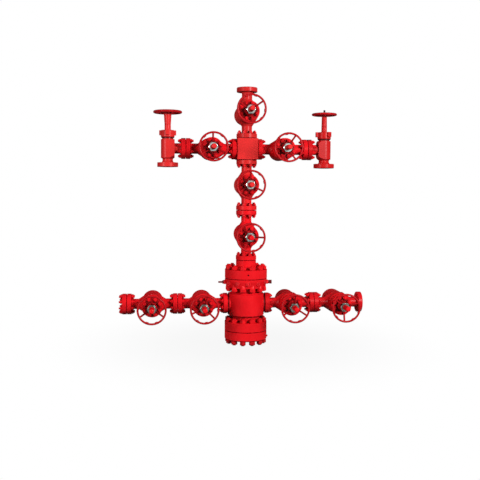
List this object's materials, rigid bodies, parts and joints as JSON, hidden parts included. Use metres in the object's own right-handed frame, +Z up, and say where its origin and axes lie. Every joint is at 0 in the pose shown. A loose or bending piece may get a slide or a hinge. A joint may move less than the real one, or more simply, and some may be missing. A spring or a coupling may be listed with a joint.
{
  "type": "gas wellhead valve stack",
  "caption": "Tall flanged wellhead stack of gate valves on a tubing head, with a cross, two wing arms ending in angle chokes, and two lower arms of valves.",
  "frame": {"origin": "centre of the well bore on the lower face of the casing flange", "axes": "+Z up along the well bore, +X along the arms to the right seen from the handwheels' side, the gate valves' stems towards -Y"},
  "size_m": [2.733, 0.833, 2.8852],
  "materials": {
    "red_paint": "gloss",
    "wheel_paint": "gloss",
    "plated_nut": "plated",
    "black_stem": "oiled"
  },
  "bodies": {
    "stack": {"casing_flange": "red_paint", "base_studs": "red_paint", "tubing_head": "red_paint", "tie_down_screws": "red_paint", "adapter_flange": "red_paint", "cross": "red_paint", "swab_valve": "red_paint", "upper_master_valve": "red_paint", "lower_master_valve": "red_paint", "left_wing_valve": "red_paint", "right_wing_valve": "red_paint", "left_outer_valve": "red_paint", "left_inner_valve": "red_paint", "right_inner_valve": "red_paint", "right_outer_valve": "red_paint", "run_bonnets": "red_paint", "wing_bonnets": "red_paint", "left_arm_bonnets": "red_paint", "right_arm_bonnets": "red_paint", "left_end_flange": "red_paint", "left_choke_body": "red_paint", "left_choke_bonnet": "red_paint", "right_choke_body": "red_paint", "right_choke_bonnet": "red_paint"},
    "swab_handwheel": {"swab_wheel": "wheel_paint", "swab_hub_nut": "plated_nut", "swab_stem_cap": "wheel_paint"},
    "upper_master_handwheel": {"upper_master_wheel": "wheel_paint", "upper_master_hub_nut": "plated_nut", "upper_master_stem_cap": "wheel_paint"},
    "lower_master_handwheel": {"lower_master_wheel": "wheel_paint", "lower_master_hub_nut": "plated_nut", "lower_master_stem_cap": "wheel_paint"},
    "left_wing_handwheel": {"left_wing_wheel": "wheel_paint", "left_wing_hub_nut": "plated_nut", "left_wing_stem_cap": "wheel_paint"},
    "right_wing_handwheel": {"right_wing_wheel": "wheel_paint", "right_wing_hub_nut": "plated_nut", "right_wing_stem_cap": "wheel_paint"},
    "left_outer_handwheel": {"left_outer_wheel": "wheel_paint", "left_outer_hub_nut": "plated_nut", "left_outer_stem_cap": "wheel_paint"},
    "left_inner_handwheel": {"left_inner_wheel": "wheel_paint", "left_inner_hub_nut": "plated_nut", "left_inner_stem_cap": "wheel_paint"},
    "right_inner_handwheel": {"right_inner_wheel": "wheel_paint", "right_inner_hub_nut": "plated_nut", "right_inner_stem_cap": "wheel_paint"},
    "right_outer_handwheel": {"right_outer_wheel": "wheel_paint", "right_outer_hub_nut": "plated_nut", "right_outer_stem_cap": "wheel_paint"},
    "left_choke_stem_body": {"left_choke_stem": "wheel_paint"},
    "left_choke_wheel_body": {"left_choke_wheel": "wheel_paint"},
    "right_choke_stem_body": {"right_choke_stem": "black_stem"},
    "right_choke_wheel_body": {"right_choke_wheel": "wheel_paint"}
  },
  "joints": [
    {"name": "swab_turn", "type": "hinge", "parent": "stack", "child": "swab_handwheel", "pos_m": [0, 0, 2.5547], "axis": [0, -1, 0], "range_deg": [0, 4860]},
    {"name": "upper_master_turn", "type": "hinge", "parent": "stack", "child": "upper_master_handwheel", "pos_m": [0, 0, 1.7497], "axis": [0, -1, 0], "range_deg": [0, 4860]},
    {"name": "lower_master_turn", "type": "hinge", "parent": "stack", "child": "lower_master_handwheel", "pos_m": [0, 0, 1.1847], "axis": [0, -1, 0], "range_deg": [0, 4860]},
    {"name": "left_wing_turn", "type": "hinge", "parent": "stack", "child": "left_wing_handwheel", "pos_m": [-0.4025, 0, 2.1522], "axis": [0, -1, 0], "range_deg": [0, 4860]},
    {"name": "right_wing_turn", "type": "hinge", "parent": "stack", "child": "right_wing_handwheel", "pos_m": [0.4025, 0, 2.1522], "axis": [0, -1, 0], "range_deg": [0, 4860]},
    {"name": "left_outer_turn", "type": "hinge", "parent": "stack", "child": "left_outer_handwheel", "pos_m": [-1.0585, 0, 0.4092], "axis": [0, -1, 0], "range_deg": [0, 4860]},
    {"name": "left_inner_turn", "type": "hinge", "parent": "stack", "child": "left_inner_handwheel", "pos_m": [-0.4935, 0, 0.4092], "axis": [0, -1, 0], "range_deg": [0, 4860]},
    {"name": "right_inner_turn", "type": "hinge", "parent": "stack", "child": "right_inner_handwheel", "pos_m": [0.4935, 0, 0.4092], "axis": [0, -1, 0], "range_deg": [0, 4860]},
    {"name": "right_outer_turn", "type": "hinge", "parent": "stack", "child": "right_outer_handwheel", "pos_m": [1.0585, 0, 0.4092], "axis": [0, -1, 0], "range_deg": [0, 4860]},
    {"name": "left_choke_rise", "type": "slide", "parent": "stack", "child": "left_choke_stem_body", "axis": [0, 0, 1], "range_m": [0, 0.05]},
    {"name": "left_choke_turn", "type": "hinge", "parent": "left_choke_stem_body", "child": "left_choke_wheel_body", "pos_m": [-0.885, 0, 2.1522], "axis": [0, 0, 1], "range_deg": [0, 2970]},
    {"name": "right_choke_rise", "type": "slide", "parent": "stack", "child": "right_choke_stem_body", "axis": [0, 0, 1], "range_m": [0, 0.05]},
    {"name": "right_choke_turn", "type": "hinge", "parent": "right_choke_stem_body", "child": "right_choke_wheel_body", "pos_m": [0.885, 0, 2.1522], "axis": [0, 0, 1], "range_deg": [0, 2970]}
  ],
  "couplings": [
    {"joint": "left_choke_rise", "follows": "left_choke_turn", "m_per_rad": 0.00095493},
    {"joint": "right_choke_rise", "follows": "right_choke_turn", "m_per_rad": 0.00095493}
  ]
}
